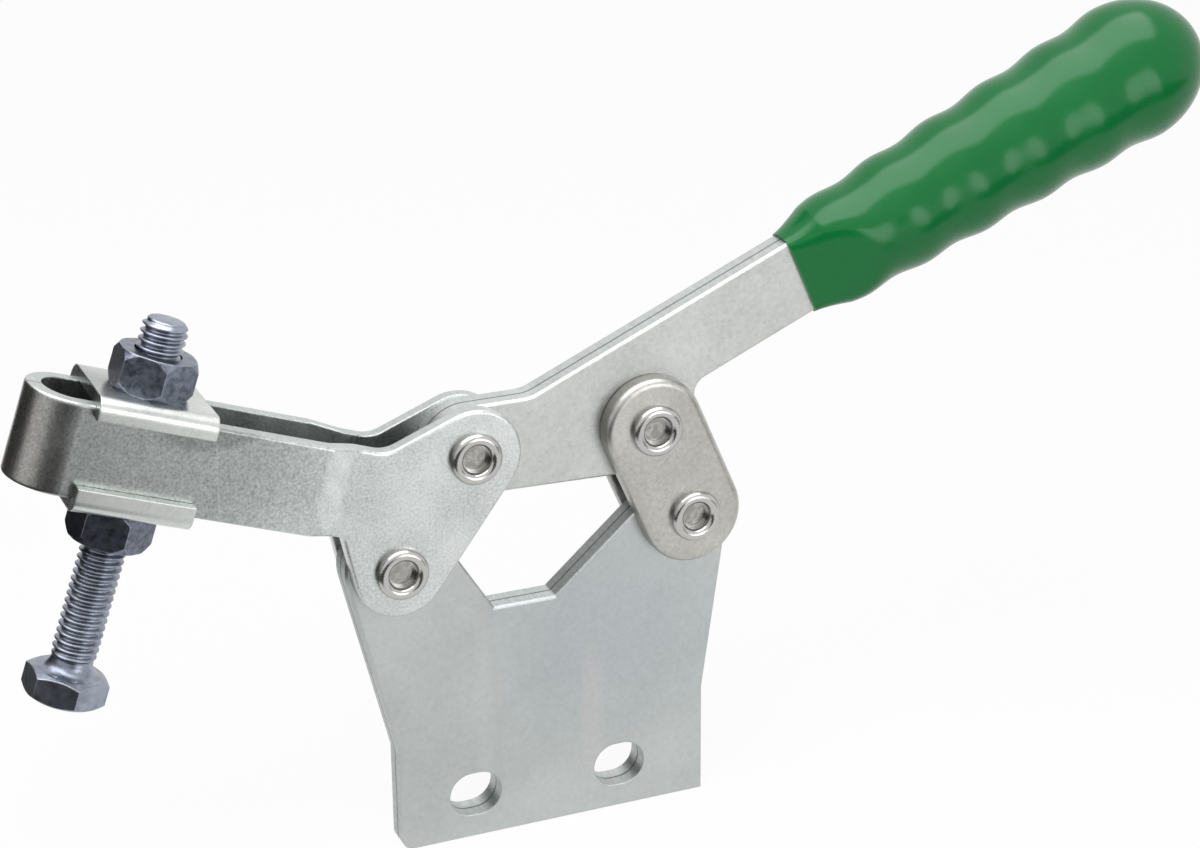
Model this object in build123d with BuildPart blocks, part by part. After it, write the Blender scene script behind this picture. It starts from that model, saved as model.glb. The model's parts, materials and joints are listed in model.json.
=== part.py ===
# Horizontal toggle clamp with an open clamping arm and an upright base.
# Millimetres. X runs from the spindle end (-X) to the hand grip (+X), Z is up,
# and Y = 0 is the middle of the sheet stack. The origin is the centre of the
# two mounting slots. The clamp is drawn half open.

from build123d import *
from math import acos, atan, atan2, cos, degrees, hypot, radians, sin, sqrt, tan
import os

os.makedirs("parts", exist_ok=True)

# --- sheet stock and fits -------------------------------------------------
base_sheet = 2.1            # each of the two base plates
handle_sheet = base_sheet   # the handle lies in the same layer as the base
arm_sheet = 2.0
link_sheet = 2.5
washer_sheet = 1.5
side_play = 0.1             # between sheets that slide on each other
running_fit = 0.05          # radial, pivot in its bore
base_edge = 0.3             # softened outer edges of the base and handle
arm_edge = 0.4
link_edge = 0.9

# --- linkage --------------------------------------------------------------
arm_pivot = (-20.55, 35.45)     # X, Z of the arm's pivot in the base
link_pivot = (20.55, 36.6)      # X, Z of the link's pivot in the base
knuckle = (5.12, 16.91)         # handle pivot in the arm, along and above its pivot
handle_reach = 25.1             # arm-to-handle pivot to link pivot
link_length = 14.18
arm_lift = 19.4                 # degrees that the arm is raised above closed

# --- base plates ----------------------------------------------------------
base_bottom = -6.5
base_left = -21.05
base_right = 23.0
base_corner = 1.6
base_chamfer = 1.9
left_kink_z = 8.0
right_kink_z = 9.2
arm_lobe_base = 6.9
link_lobe_base = 6.4
lobe_flat_start = 90.0          # degrees, flat on that lobe that clears the open handle
lobe_flat_end = 165.0
notch_floor = 27.1
notch_left = -7.2
notch_right = 1.5
notch_fillets = (1.6, 3.0)      # left and right of the notch floor
slot_pitch = 21.0
slot_width = 6.3
slot_length = 7.4

# --- arm, drawn lying level with its pivot at 0, 0 --------------------------
arm_pivot_lobe = 6.2
bar_root = 4.0                  # fillet where the bar meets the web
knuckle_lobe = 6.4
bar_top = 15.3
bar_bottom = 3.3
bar_width = 11.64               # over both sides of the bar
nose = -53.2                    # front of the bent loop
joggle_front = -14.4
joggle_back = -10.6
joggle_bend = 2.0
web_slope = 40.4                # degrees, edge that rises to the knuckle
bar_heel = -9.3                 # where the bar's lower edge meets the lobe
heel_fillet = 1.0

# --- handle, drawn from the knuckle along its reach -------------------------
front_lobe = 6.15
link_lobe = 6.8
shank_angle = 23.7
shank_width = 10.8
shank_drop = 3.26               # knuckle to shank axis
shank_inside = 50.0             # shank length in the grip
shank_top_fillet = 5.0
shank_bottom_fillet = 2.5
grip_start = 50.2               # along the shank axis from the knuckle's foot

# --- grip -------------------------------------------------------------------
grip_length = 65.5
grip_mouth = 6.0                # radius at the mouth
grip_neck = 7.65                # radius of the first swell
grip_bulb = 9.75                # radius of the last swell
grip_first = 7.7                # first swell from the mouth
grip_pitch = 9.45
grip_swells = 6
grip_groove = 0.65              # how far the grip narrows between swells
grip_mouth_depth = 2.7          # half depth of the flattened mouth
grip_flat_length = 10.0

# --- link and rivets ----------------------------------------------------------
link_radius = 6.9
rivet_shank = 2.25
rivet_head = 3.5
rivet_rim = 0.5                 # straight rim under the rolled edge
rivet_cup = 1.9
rivet_cup_depth = 1.6
bush_wall = 1.0
toggle_waist = 1.6              # rivet radius where it passes the handle
toggle_float = 3.2              # play of that rivet in the handle
toggle_drift = (1.47, 0.3)      # centre of the play from the link pivot

# --- spindle, M6 ---------------------------------------------------------------
spindle_at = -38.1              # along the arm from its pivot
thread_radius = 3.0
spindle_tip = 26.0              # height above the arm's pivot when closed
spindle_length = 46.9           # under the head
spindle_shoulder = 1.5          # fillet between thread and head
spindle_lead = 0.7              # chamfer at the tip
hex_flats = 9.55
hex_bevel = 0.92                # circle left on a hexagon's end, share of its flats
hex_bevel_angle = 30.0
head_turn = 32.0                # degrees, corners about the spindle
upper_nut_turn = 29.0
lower_nut_turn = 38.0
nut_height = 5.0
head_height = 3.8
nut_play = 0.05                 # radial, thread in nut
washer_length = 15.2
washer_hole = 3.2
top_flange = 1.3                # flange depth past the arm's edge
bottom_flange = 1.9
flange_play = 0.1
washer_bend = 0.3              # inner radius of the flanges' bends

# --- places worked out from the sizes above --------------------------------------
base_half = base_sheet
layer_face = base_half + side_play
arm_outer = layer_face + arm_sheet
link_outer = layer_face + link_sheet
bar_outer = bar_width / 2


def turned(point, angle):
    """Turn an (x, z) pair about 0, 0."""
    a = radians(angle)
    return (point[0] * cos(a) - point[1] * sin(a), point[0] * sin(a) + point[1] * cos(a))


def moved(origin, point):
    return (origin[0] + point[0], origin[1] + point[1])


def on_circle(centre, radius, angle):
    return moved(centre, (radius * cos(radians(angle)), radius * sin(radians(angle))))


def tangent_angle(point, centre, radius, side):
    """Polar angle, on a circle, of the tangent from an outside point."""
    dx, dz = point[0] - centre[0], point[1] - centre[1]
    return degrees(atan2(dz, dx)) + side * degrees(acos(radius / hypot(dx, dz)))


def side_plane(pivot, angle, y):
    """Plane seen from the front, turned about a pivot; it extrudes towards -Y."""
    a = radians(angle)
    return Plane(origin=(pivot[0], y, pivot[1]), x_dir=(cos(a), 0, sin(a)), z_dir=(0, -1, 0))


def outer_rim(plate):
    """Edges round the outline of a plate's front face."""
    return plate.faces().sort_by(Axis.Y)[0].outer_wire().edges()


# The knuckle follows from the arm's lift, and the last pivot closes the linkage.
handle_pivot = moved(arm_pivot, turned(knuckle, -arm_lift))
span_x, span_z = link_pivot[0] - handle_pivot[0], link_pivot[1] - handle_pivot[1]
span = hypot(span_x, span_z)
along = (handle_reach**2 - link_length**2 + span**2) / (2 * span)
handle_angle = degrees(atan2(span_z, span_x) + acos(along / handle_reach))
toggle_pivot = on_circle(handle_pivot, handle_reach, handle_angle)
link_angle = degrees(atan2(toggle_pivot[1] - link_pivot[1], toggle_pivot[0] - link_pivot[0]))

bush_radius = rivet_shank + bush_wall


# --- base plates: two flat stampings face to face ---------------------------------
def base_outline():
    """Base stamping seen from the front, with its V between the two lobes."""
    right = tangent_angle((base_right, right_kink_z), link_pivot, link_lobe_base, 1)
    left = tangent_angle((base_left, left_kink_z), arm_pivot, arm_lobe_base, -1)
    notch = tangent_angle((notch_left, notch_floor), arm_pivot, arm_lobe_base, 1)
    with BuildSketch() as outline:
        with BuildLine():
            bottom = Polyline(
                on_circle(arm_pivot, arm_lobe_base, left),
                (base_left, left_kink_z),
                (base_left, base_bottom),
                (base_right, base_bottom),
                (base_right, right_kink_z),
                on_circle(link_pivot, link_lobe_base, right),
            )
            ThreePointArc(
                bottom @ 1,
                on_circle(link_pivot, link_lobe_base, (right + lobe_flat_start) / 2),
                on_circle(link_pivot, link_lobe_base, lobe_flat_start),
            )
            Polyline(
                on_circle(link_pivot, link_lobe_base, lobe_flat_start),
                on_circle(link_pivot, link_lobe_base, lobe_flat_end),
                (notch_right, notch_floor),
                (notch_left, notch_floor),
                on_circle(arm_pivot, arm_lobe_base, notch),
            )
            ThreePointArc(
                on_circle(arm_pivot, arm_lobe_base, notch),
                on_circle(arm_pivot, arm_lobe_base, (notch + left + 360) / 2),
                bottom @ 0,
            )
        make_face()
        corners = outline.vertices()
        fillet(corners.sort_by_distance((base_left, base_bottom))[0], base_corner)
        chamfer(corners.sort_by_distance((base_right, base_bottom))[0], base_chamfer)
        fillet(corners.sort_by_distance((notch_left, notch_floor))[0], notch_fillets[0])
        fillet(corners.sort_by_distance((notch_right, notch_floor))[0], notch_fillets[1])
        with Locations((-slot_pitch / 2, 0), (slot_pitch / 2, 0)):
            SlotOverall(slot_length, slot_width, mode=Mode.SUBTRACT)
        with Locations(arm_pivot, link_pivot):
            Circle(bush_radius, mode=Mode.SUBTRACT)
    return outline.sketch


base_profile = base_outline()
with BuildPart() as base_plate_front:
    with BuildSketch(side_plane((0, 0), 0, 0)):
        add(base_profile)
    extrude(amount=base_sheet)
    chamfer(outer_rim(base_plate_front), base_edge)
base_plate_front.part.label = "base_plate_front"

with BuildPart() as base_plate_back:
    add(base_plate_front.part)
    mirror(about=Plane.XZ, mode=Mode.REPLACE)
base_plate_back.part.label = "base_plate_back"


# --- clamping arm: one strip bent round the nose, stepped in to clasp the base ------
def arm_plane(distance, height):
    """Plane square to the arm's height, at a point along and above the arm's pivot."""
    point = moved(arm_pivot, turned((distance, height), -arm_lift))
    a = radians(-arm_lift)
    return Plane(origin=(point[0], 0, point[1]), x_dir=(cos(a), 0, sin(a)), z_dir=(-sin(a), 0, cos(a)))


def strip_outline(inset):
    """Plan of the bent strip, or of the gap inside it, seen along its height."""
    wide = bar_outer - inset
    narrow = arm_outer - inset
    tail = knuckle[0] + knuckle_lobe + arm_sheet + 1
    step = inset * (bar_outer - arm_outer) / (joggle_back - joggle_front) / 2
    centre = nose + bar_outer
    with BuildSketch() as outline:
        with BuildLine():
            side = Polyline(
                (centre, wide),
                (joggle_front - step, wide),
                (joggle_back - step, narrow),
                (tail, narrow),
                (tail, 0),
            )
            mirror(side, about=Plane.XZ)
            ThreePointArc((centre, wide), (centre - wide, 0), (centre, -wide))
        make_face()
        bends = outline.vertices().filter_by_position(Axis.X, joggle_front - 2, joggle_back + 2)
        fillet(bends, joggle_bend)
    return outline.sketch


def arm_outline():
    """Side of the arm: a level bar whose tail widens into the web of both pivots."""
    heel = tangent_angle((bar_heel, bar_bottom), (0, 0), arm_pivot_lobe, 1)
    lean = degrees(atan2(knuckle[1], knuckle[0]))
    flare = degrees(acos((arm_pivot_lobe - knuckle_lobe) / hypot(*knuckle)))
    crest = on_circle(knuckle, knuckle_lobe, 90 + web_slope)
    foot = crest[0] - (crest[1] - bar_top) / sin(radians(web_slope)) * cos(radians(web_slope))
    with BuildSketch() as outline:
        with BuildLine():
            Polyline(
                on_circle((0, 0), arm_pivot_lobe, heel),
                (bar_heel, bar_bottom),
                (nose - 1, bar_bottom),
                (nose - 1, bar_top),
                (foot, bar_top),
                crest,
            )
            ThreePointArc(
                crest,
                on_circle(knuckle, knuckle_lobe, (90 + web_slope + lean - flare) / 2),
                on_circle(knuckle, knuckle_lobe, lean - flare),
            )
            Line(
                on_circle(knuckle, knuckle_lobe, lean - flare),
                on_circle((0, 0), arm_pivot_lobe, lean - flare),
            )
            ThreePointArc(
                on_circle((0, 0), arm_pivot_lobe, lean - flare),
                on_circle((0, 0), arm_pivot_lobe, (lean - flare + heel - 360) / 2),
                on_circle((0, 0), arm_pivot_lobe, heel),
            )
        make_face()
        fillet(outline.vertices().sort_by_distance((foot, bar_top))[0], bar_root)
        fillet(outline.vertices().sort_by_distance((bar_heel, bar_bottom))[0], heel_fillet)
        with Locations((0, 0), knuckle):
            Circle(rivet_shank, mode=Mode.SUBTRACT)
    return outline.sketch


with BuildPart() as clamping_arm:
    with BuildSketch(arm_plane(0, 0)):
        add(strip_outline(0))
        add(strip_outline(arm_sheet), mode=Mode.SUBTRACT)
    extrude(amount=knuckle[1] + knuckle_lobe + 1, both=True)
    with BuildSketch(side_plane(arm_pivot, -arm_lift, 0)):
        add(arm_outline())
    extrude(amount=bar_outer + 1, both=True, mode=Mode.INTERSECT)
    nose_face = clamping_arm.faces().filter_by(GeomType.CYLINDER).sort_by(Axis.X)[0]
    side_faces = clamping_arm.faces().filter_by(lambda face: face.normal_at().Y * face.center().Y > 0.01)
    outer_rims = [face.outer_wire().edges() for face in (nose_face, *side_faces)]
    seams = [edge for rim in outer_rims for edge in rim]
    fillet([edge for edge in seams if sum(edge.is_same(other) for other in seams) == 1], arm_edge)
clamping_arm.part.label = "clamping_arm"


# --- handle: two flat stampings riveted into the arm's tail ---------------------------
def handle_outline():
    """Handle stamping from the knuckle to the end of its shank, along its reach."""
    slope = radians(shank_angle)
    foot = (shank_drop * sin(slope), -shank_drop * cos(slope))
    start = moved(foot, turned((grip_start + shank_inside, shank_width / 2), shank_angle))
    end = moved(foot, turned((grip_start + shank_inside, -shank_width / 2), shank_angle))
    elbow_x = start[0] - (start[1] - front_lobe) / sin(slope) * cos(slope)
    heel_x = handle_reach + link_lobe
    heel_y = end[1] - (end[0] - heel_x) / cos(slope) * sin(slope)
    belly = degrees(acos((link_lobe - front_lobe) / handle_reach))
    with BuildSketch() as outline:
        with BuildLine():
            Polyline(
                (0, front_lobe),
                (elbow_x, front_lobe),
                start,
                end,
                (heel_x, heel_y),
                (heel_x, 0),
            )
            ThreePointArc(
                (heel_x, 0),
                on_circle((handle_reach, 0), link_lobe, -45),
                on_circle((handle_reach, 0), link_lobe, -180 + belly),
            )
            Line(
                on_circle((handle_reach, 0), link_lobe, -180 + belly),
                on_circle((0, 0), front_lobe, -180 + belly),
            )
            ThreePointArc(on_circle((0, 0), front_lobe, -180 + belly), (-front_lobe, 0), (0, front_lobe))
        make_face()
        fillet(outline.vertices().sort_by_distance((elbow_x, front_lobe))[0], shank_top_fillet)
        fillet(outline.vertices().sort_by_distance((heel_x, heel_y))[0], shank_bottom_fillet)
        Circle(bush_radius, mode=Mode.SUBTRACT)
        with Locations((handle_reach + toggle_drift[0], toggle_drift[1])):
            Circle(toggle_waist + toggle_float, mode=Mode.SUBTRACT)
    return outline.sketch


with BuildPart() as handle_plate_front:
    with BuildSketch(side_plane(handle_pivot, handle_angle, 0)):
        add(handle_outline())
    extrude(amount=handle_sheet)
    chamfer(outer_rim(handle_plate_front), base_edge)
handle_plate_front.part.label = "handle_plate_front"

with BuildPart() as handle_plate_back:
    add(handle_plate_front.part)
    mirror(about=Plane.XZ, mode=Mode.REPLACE)
handle_plate_back.part.label = "handle_plate_back"


# --- grip: moulded over the shank, waved along its length, flattened at the mouth ------
def grip_plane():
    """Plane on the shank's axis at the grip's mouth; x runs along the shank."""
    slope = radians(shank_angle)
    foot = (shank_drop * sin(slope), -shank_drop * cos(slope))
    mouth = moved(foot, turned((grip_start, 0), shank_angle))
    return side_plane(moved(handle_pivot, turned(mouth, handle_angle)), handle_angle + shank_angle, 0)


# The waves cross a straight middle line, so that equal arcs run smoothly into each other.
swell_gain = (grip_bulb - grip_neck) / (grip_swells - 1)
crossings = []
for half_wave in range(2 * grip_swells - 1):
    station = half_wave / 2 - 0.25
    middle = grip_neck - grip_groove / 2 + station * swell_gain
    crossings.append((grip_first + station * grip_pitch, middle))
wave_slope = degrees(atan2(swell_gain, grip_pitch) + 2 * atan(2 * grip_groove / grip_pitch))
last_swell = grip_first + (grip_swells - 1) * grip_pitch

mouth_plane = Plane(origin=grip_plane().origin, x_dir=grip_plane().x_dir, z_dir=grip_plane().y_dir)
with BuildPart() as grip:
    with BuildSketch(grip_plane()):
        with BuildLine():
            rising = on_circle((0, 0), 1, wave_slope)
            mouth = Spline((0, grip_mouth), crossings[0], tangents=[(1, 0.1), rising])
            crest = mouth
            for crossing in crossings[1:]:
                crest = TangentArc(crest @ 1, crossing, tangent=crest % 1)
            crest = Spline(crest @ 1, (last_swell, grip_bulb), tangents=[crest % 1, (1, 0)])
            EllipticalCenterArc((last_swell, 0), grip_length - last_swell, grip_bulb, arc_size=90)
            Polyline((grip_length, 0), (0, 0), (0, grip_mouth))
        make_face()
    revolve(axis=Axis(grip_plane().origin, grip_plane().x_dir))
    for side in (1, -1):
        with BuildSketch(mouth_plane):
            with BuildLine():
                Polyline(
                    (0, side * grip_mouth_depth),
                    (grip_flat_length, side * grip_neck),
                    (grip_flat_length, side * grip_bulb),
                    (0, side * grip_bulb),
                    close=True,
                )
            make_face()
        extrude(amount=grip_bulb, both=True, mode=Mode.SUBTRACT)
    with BuildSketch(grip_plane()):
        with Locations((shank_inside / 2, 0)):
            Rectangle(shank_inside, shank_width)
    extrude(amount=handle_sheet, both=True, mode=Mode.SUBTRACT)
grip.part.label = "grip"


# --- link: two pressed plates outside the base and the handle ----------------------------
with BuildPart() as link_plate_front:
    with BuildSketch(side_plane(link_pivot, link_angle, -layer_face)):
        with Locations((link_length / 2, 0)):
            SlotCenterToCenter(link_length, 2 * link_radius)
        with Locations((0, 0), (link_length, 0)):
            Circle(rivet_shank, mode=Mode.SUBTRACT)
    extrude(amount=link_sheet)
    fillet(outer_rim(link_plate_front), link_edge)
link_plate_front.part.label = "link_plate_front"

with BuildPart() as link_plate_back:
    add(link_plate_front.part)
    mirror(about=Plane.XZ, mode=Mode.REPLACE)
link_plate_back.part.label = "link_plate_back"


# --- rivets with rolled, cupped ends; the bushes that they turn in -------------------------
def rivet_half(face):
    """Half of a rivet's section: x is the radius, y runs outwards from mid-plane to head."""
    roll = (rivet_head - rivet_cup) / 2
    rim = face + rivet_rim
    cup = rim + roll - rivet_cup_depth
    with BuildSketch() as outline:
        with BuildLine():
            Polyline(
                (rivet_cup, rim),
                (rivet_cup, cup),
                (0, cup),
                (0, 0),
                (rivet_shank, 0),
                (rivet_shank, face),
                (rivet_head, face),
                (rivet_head, rim),
            )
            ThreePointArc((rivet_head, rim), (rivet_cup + roll, rim + roll), (rivet_cup, rim))
        make_face()
    return outline.sketch


rivets = {}
for rivet_name, rivet_at, face in (
    ("arm_pivot_rivet", arm_pivot, arm_outer),
    ("handle_pivot_rivet", handle_pivot, arm_outer),
    ("link_pivot_rivet", link_pivot, link_outer),
    ("toggle_rivet", toggle_pivot, link_outer),
):
    with BuildPart() as rivet:
        with BuildSketch(Plane(origin=(rivet_at[0], 0, rivet_at[1]))):
            add(rivet_half(face))
        revolve(axis=Axis((rivet_at[0], 0, rivet_at[1]), (0, 1, 0)))
        mirror(about=Plane.XZ)
        if rivet_at == toggle_pivot:
            with BuildSketch(side_plane(rivet_at, 0, 0)):
                Circle(rivet_shank)
                Circle(toggle_waist, mode=Mode.SUBTRACT)
            extrude(amount=layer_face - side_play / 2, both=True, mode=Mode.SUBTRACT)
    rivet.part.label = rivet_name
    rivets[rivet_name] = rivet

bushes = {}
for bush_name, bush_at in (
    ("arm_pivot_bush", arm_pivot),
    ("handle_pivot_bush", handle_pivot),
    ("link_pivot_bush", link_pivot),
):
    with BuildPart() as bush:
        with BuildSketch(side_plane(bush_at, 0, 0)):
            Circle(bush_radius)
            Circle(rivet_shank + running_fit, mode=Mode.SUBTRACT)
        extrude(amount=base_half, both=True)
    bush.part.label = bush_name
    bushes[bush_name] = bush


# --- spindle: a hexagon bolt hung head down between two nuts and flanged washers -------------
def hex_solid(bottom, height, turn):
    """Hexagon prism on the spindle's axis, its corners turned off at both ends."""
    corner = hex_flats / sqrt(3)
    bevel = corner - hex_flats / 2 * hex_bevel
    with BuildPart(mode=Mode.PRIVATE) as turned_blank:
        with BuildSketch(arm_plane(spindle_at, bottom)):
            Circle(corner)
        extrude(amount=height)
        for end in turned_blank.faces().filter_by(GeomType.PLANE):
            chamfer(end.edges(), bevel * tan(radians(hex_bevel_angle)), bevel, reference=end)
    with BuildPart(mode=Mode.PRIVATE) as body:
        with BuildSketch(arm_plane(spindle_at, bottom)):
            RegularPolygon(hex_flats / 2, 6, major_radius=False, rotation=turn)
        extrude(amount=height)
        add(turned_blank.part, mode=Mode.INTERSECT)
    return body.part


def nut(bottom, turn):
    """Hexagon nut whose plain bore takes the spindle's thread."""
    with BuildPart() as body:
        add(hex_solid(bottom, nut_height, turn))
        with BuildSketch(arm_plane(spindle_at, bottom)):
            Circle(thread_radius + nut_play)
        extrude(amount=nut_height, mode=Mode.SUBTRACT)
    return body


with BuildPart() as spindle:
    with BuildSketch(arm_plane(spindle_at, spindle_tip - spindle_length)):
        Circle(thread_radius)
    extrude(amount=spindle_length)
    chamfer(spindle.faces().sort_by(Axis.Z)[-1].edges(), spindle_lead)
    under_head = spindle.faces().filter_by(GeomType.PLANE).sort_by(Axis.Z)[0].center()
    add(hex_solid(spindle_tip - spindle_length - head_height, head_height, head_turn))
    fillet(spindle.edges().filter_by(GeomType.CIRCLE).sort_by_distance(under_head)[0], spindle_shoulder)
spindle.part.label = "spindle"

upper_nut = nut(bar_top + washer_sheet, upper_nut_turn)
upper_nut.part.label = "upper_nut"
lower_nut = nut(bar_bottom - washer_sheet - nut_height, lower_nut_turn)
lower_nut.part.label = "lower_nut"


def washer_section(edge, away, flange):
    """Channel section over one edge of the bar: x across, y along the arm's height."""
    inner = bar_outer + flange_play
    with BuildSketch() as outline:
        with BuildLine():
            Polyline(
                (-inner - washer_sheet, edge - away * flange),
                (-inner - washer_sheet, edge + away * washer_sheet),
                (inner + washer_sheet, edge + away * washer_sheet),
                (inner + washer_sheet, edge - away * flange),
                (inner, edge - away * flange),
                (inner, edge),
                (-inner, edge),
                (-inner, edge - away * flange),
                close=True,
            )
        make_face()
        across = outline.vertices().group_by(Axis.Y)[::away]
        fillet(across[-1], washer_bend + washer_sheet)
        inner_bends = outline.vertices().group_by(lambda corner: round(abs(corner.Y - edge), 3))[0]
        fillet(inner_bends, washer_bend)
    return outline.sketch


def washer_plane():
    """Plane across the arm at the rear end of the flanged washers."""
    end = moved(arm_pivot, turned((spindle_at + washer_length / 2, 0), -arm_lift))
    a = radians(-arm_lift)
    return Plane(origin=(end[0], 0, end[1]), x_dir=(0, -1, 0), z_dir=(-cos(a), 0, -sin(a)))


washers = {}
for washer_name, edge, away, flange in (
    ("flanged_washer_top", bar_top, 1, top_flange),
    ("flanged_washer_bottom", bar_bottom, -1, bottom_flange),
):
    with BuildPart() as washer:
        with BuildSketch(washer_plane()):
            add(washer_section(edge, away, flange))
        extrude(amount=washer_length)
        with BuildSketch(arm_plane(spindle_at, edge)):
            Circle(washer_hole)
        extrude(amount=away * washer_sheet, mode=Mode.SUBTRACT)
    washer.part.label = washer_name
    washers[washer_name] = washer


for piece in (
    base_plate_front,
    base_plate_back,
    clamping_arm,
    handle_plate_front,
    handle_plate_back,
    grip,
    link_plate_front,
    link_plate_back,
    spindle,
    upper_nut,
    lower_nut,
    *rivets.values(),
    *bushes.values(),
    *washers.values(),
):
    export_step(piece.part, f"parts/{piece.part.label}.step")
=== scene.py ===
import json
import math

import bmesh
import bpy
from mathutils import Matrix, Vector


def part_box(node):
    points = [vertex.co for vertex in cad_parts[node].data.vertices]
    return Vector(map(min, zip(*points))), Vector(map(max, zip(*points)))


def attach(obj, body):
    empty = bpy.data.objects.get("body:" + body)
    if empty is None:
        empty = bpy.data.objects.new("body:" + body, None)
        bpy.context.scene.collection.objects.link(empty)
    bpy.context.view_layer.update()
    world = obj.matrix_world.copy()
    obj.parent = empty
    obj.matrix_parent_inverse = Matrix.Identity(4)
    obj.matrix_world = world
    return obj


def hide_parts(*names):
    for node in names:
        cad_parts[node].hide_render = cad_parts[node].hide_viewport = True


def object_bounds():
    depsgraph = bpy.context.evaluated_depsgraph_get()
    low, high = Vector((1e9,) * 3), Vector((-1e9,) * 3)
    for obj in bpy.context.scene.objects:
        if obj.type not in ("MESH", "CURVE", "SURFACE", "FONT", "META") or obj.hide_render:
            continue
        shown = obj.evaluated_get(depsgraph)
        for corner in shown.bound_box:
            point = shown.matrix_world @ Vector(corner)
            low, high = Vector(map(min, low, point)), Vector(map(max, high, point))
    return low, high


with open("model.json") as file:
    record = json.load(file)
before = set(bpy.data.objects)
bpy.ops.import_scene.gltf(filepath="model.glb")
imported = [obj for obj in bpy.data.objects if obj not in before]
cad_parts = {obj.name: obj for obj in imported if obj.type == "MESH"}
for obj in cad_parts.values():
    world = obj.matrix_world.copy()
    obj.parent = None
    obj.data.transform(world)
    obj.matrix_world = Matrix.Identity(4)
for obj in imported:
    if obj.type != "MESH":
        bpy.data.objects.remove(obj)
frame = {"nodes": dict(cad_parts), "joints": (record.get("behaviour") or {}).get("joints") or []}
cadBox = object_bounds()
joints = {joint["name"]: joint for joint in frame["joints"]}
mm = 0.001
print("stage: frame loaded")


# Colours are written as sRGB hex, as a paint chart gives them, and turned to linear here.
def hexColor(code):
    channels = [int(code[i:i + 2], 16) / 255 for i in (0, 2, 4)]
    linear = [c / 12.92 if c <= 0.04045 else ((c + 0.055) / 1.055) ** 2.4 for c in channels]
    return (*linear, 1.0)


# Adds one node. Settings are its properties. Inputs are constants, sockets, nodes whose first
# output is meant, or a list of nodes for a socket that takes several links.
def addNode(tree, kind, settings=None, inputs=None):
    node = tree.nodes.new(kind)
    for name, value in (settings or {}).items():
        setattr(node, name, value)
    for key, value in (inputs or {}).items():
        for source in value if isinstance(value, list) else [value]:
            if isinstance(source, bpy.types.Node):
                source = source.outputs[0]
            if isinstance(source, bpy.types.NodeSocket):
                tree.links.new(source, node.inputs[key])
            else:
                node.inputs[key].default_value = source
    return node


# Lens and place of the camera, in metres, and the way it looks, in degrees.
cameraSetup = {
    "lens": 86.34,
    "sensor": 36.0,
    "place": (-0.12704, -0.32477, 0.18939),
    "azimuth": -22.729,
    "elevation": 21.635,
    "roll": -0.539,
}


def makeCamera(setup):
    azimuth, elevation, roll = (math.radians(setup[key]) for key in ("azimuth", "elevation", "roll"))
    level = math.cos(elevation)
    back = Vector((math.sin(azimuth) * level, -math.cos(azimuth) * level, math.sin(elevation)))
    right = Vector((math.cos(azimuth), math.sin(azimuth), 0))
    up = back.cross(right)
    tiltedRight = right * math.cos(roll) + up * math.sin(roll)
    tiltedUp = up * math.cos(roll) - right * math.sin(roll)
    data = bpy.data.cameras.new("camera")
    data.lens = setup["lens"]
    data.sensor_width = setup["sensor"]
    data.clip_start = 0.01
    data.clip_end = 20
    camera = bpy.data.objects.new("camera", data)
    turn = Matrix((tiltedRight, tiltedUp, back)).transposed().to_4x4()
    camera.matrix_world = Matrix.Translation(Vector(setup["place"])) @ turn
    bpy.context.collection.objects.link(camera)
    bpy.context.scene.camera = camera


makeCamera(cameraSetup)
print("stage: camera")


# A shader and its output, with an Object coordinate to start every pattern from.
def newMaterial(name):
    material = bpy.data.materials.new(name)
    material.use_nodes = True
    tree = material.node_tree
    tree.nodes.clear()
    shader = addNode(tree, "ShaderNodeBsdfPrincipled")
    addNode(tree, "ShaderNodeOutputMaterial", inputs={"Surface": shader})
    point = addNode(tree, "ShaderNodeTexCoord").outputs["Object"]
    return material, tree, shader, point


# Ends a bare metal: its colour, roughness and, where it has one, its fine relief.
def finishMetal(tree, shader, color, rough, relief=None):
    tree.links.new(color, shader.inputs["Base Color"])
    tree.links.new(rough.outputs[0], shader.inputs["Roughness"])
    if relief:
        tree.links.new(relief.outputs[0], shader.inputs["Normal"])
    shader.inputs["Metallic"].default_value = 1.0


# Zinc-plated cold-rolled steel sheet, tumbled after stamping. The eye sees a pale, faintly green
# satin grey: cloudy patches from the bath, fine grain with dark pits, hairlines from handling,
# listed spots, most of them painted shade and painted highlight standing in for darker and
# brighter reflections, and sheared edges that are rougher and streaked by the punch.
pitColor = "5C605F"
seamColor = "3A3D3E"
hairlineWidth = 0.5         # mm, and also the width of a punch streak
hairlineStretch = 0.03      # a hairline's width, as a share of its length
shearedRoughness = 0.12     # how much rougher a sheared edge is than the sheet


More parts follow.
